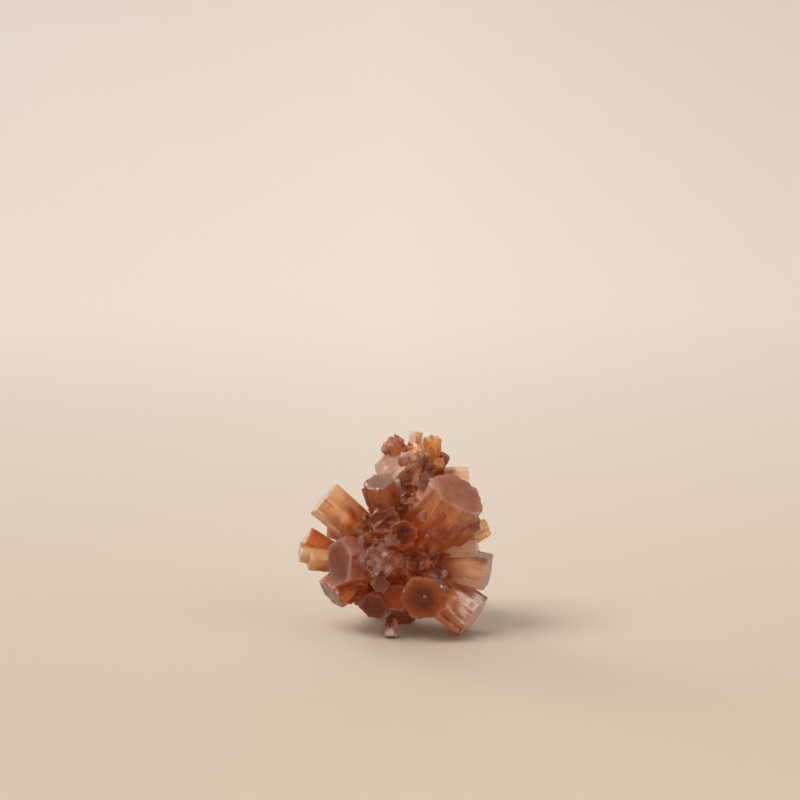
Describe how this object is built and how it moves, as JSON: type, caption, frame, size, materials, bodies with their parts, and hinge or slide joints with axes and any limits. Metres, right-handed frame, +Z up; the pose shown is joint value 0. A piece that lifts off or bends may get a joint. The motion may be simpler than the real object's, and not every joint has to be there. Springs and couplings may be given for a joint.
{
  "type": "aragonite specimen",
  "caption": "Natural aragonite cluster of twinned six-sided prisms, honey to rust brown, that radiate from one heart and stand free on worn crystal corners.",
  "frame": {"origin": "middle of the specimen's bounding box, on the surface that it stands on", "axes": "+Z up; the show side faces -Y, so +X is the viewer's right and +Y goes to the back"},
  "size_m": [0.0344, 0.0267, 0.0357],
  "materials": {
    "rust_aragonite": "vitreous"
  },
  "bodies": {
    "root": {"aragonite_cluster": "rust_aragonite"}
  },
  "joints": []
}
